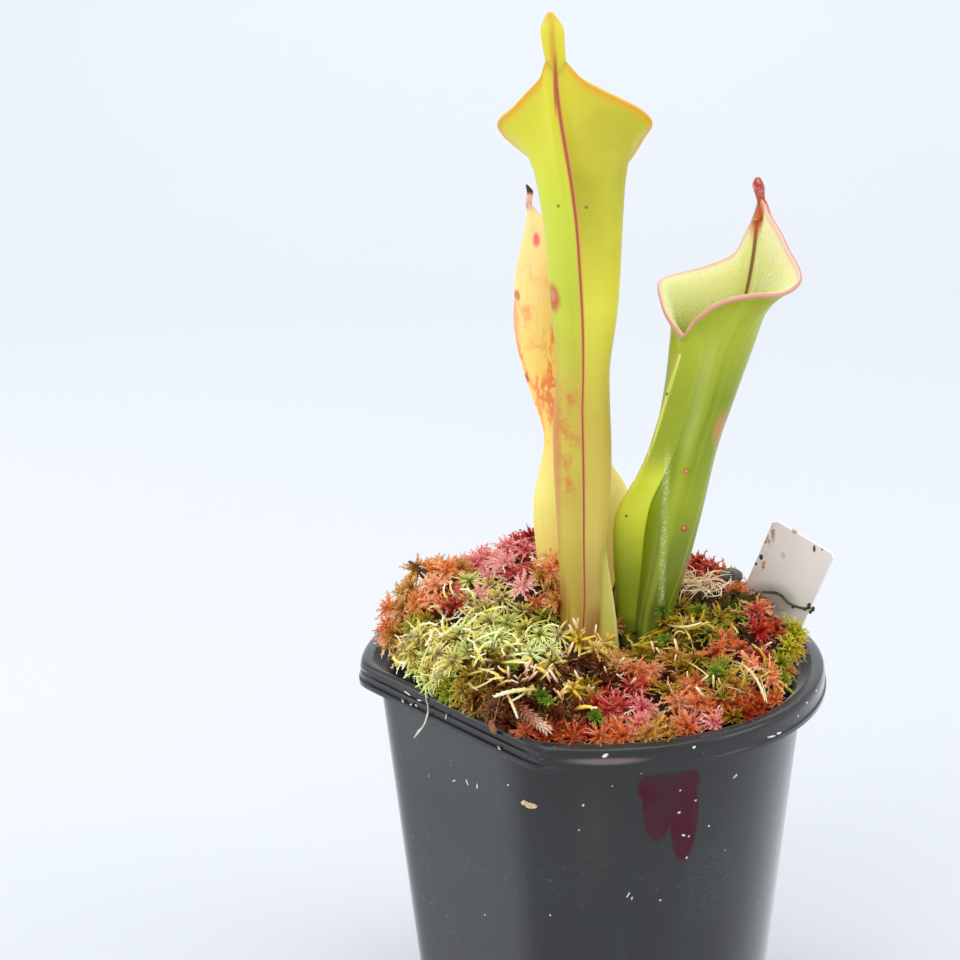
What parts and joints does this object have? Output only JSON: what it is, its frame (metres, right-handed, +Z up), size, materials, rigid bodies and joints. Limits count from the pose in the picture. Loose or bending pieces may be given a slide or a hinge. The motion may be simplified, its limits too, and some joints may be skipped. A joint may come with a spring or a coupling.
{
  "type": "potted marsh pitcher plant",
  "caption": "Carnivorous marsh pitcher plant, Heliamphora tatei, in live sphagnum moss in a deep black plastic nursery pot with a plant label.",
  "frame": {"origin": "middle of the pot's foot, on the surface that it stands on", "axes": "+Z up the pot and the leaves, -Y towards the side seen in the picture, +X to that side's right"},
  "size_m": [0.1073, 0.1058, 0.2434],
  "materials": {
    "pot_plastic": "black injection-moulded polypropylene, satin, dusty, with faint specks of dried peat water",
    "peat": "damp peat and old sphagnum, dark brown, matt",
    "rhizome": "brown scaly plant stem with thin dark roots",
    "front_leaf": "living leaf, yellow-green, waxy, with a red midrib and orange lip",
    "right_leaf": "living leaf, fresh green, waxy outside, pale and downy inside, pink lip and red spoon",
    "old_leaf": "ageing leaf, straw yellow to orange, with pink blotches and a dried brown tip",
    "label_plastic": "thin white plastic strip, matt, stained with peat at its edges",
    "stone": "grey horticultural grit, rough",
    "twig": "dead dark twig",
    "rust_moss": "live sphagnum heads, rust, pink and orange",
    "pale_moss": "live sphagnum strands, pale yellow-green",
    "red_moss": "live sphagnum heads, dark red and maroon with pale tips",
    "coral_moss": "live sphagnum heads, coral and orange-brown",
    "green_moss": "live sphagnum heads and strands, yellow-green"
  },
  "bodies": {
    "root": {"pot": "pot_plastic", "growing_medium": "peat", "rhizome_with_roots": "rhizome", "pitcher_front": "front_leaf", "pitcher_right": "right_leaf", "pitcher_back": "old_leaf", "plant_label": "label_plastic", "stone": "stone", "twig": "twig", "moss_rust": "rust_moss", "moss_pale": "pale_moss", "moss_red": "red_moss", "moss_coral": "coral_moss", "moss_green": "green_moss"}
  },
  "joints": []
}
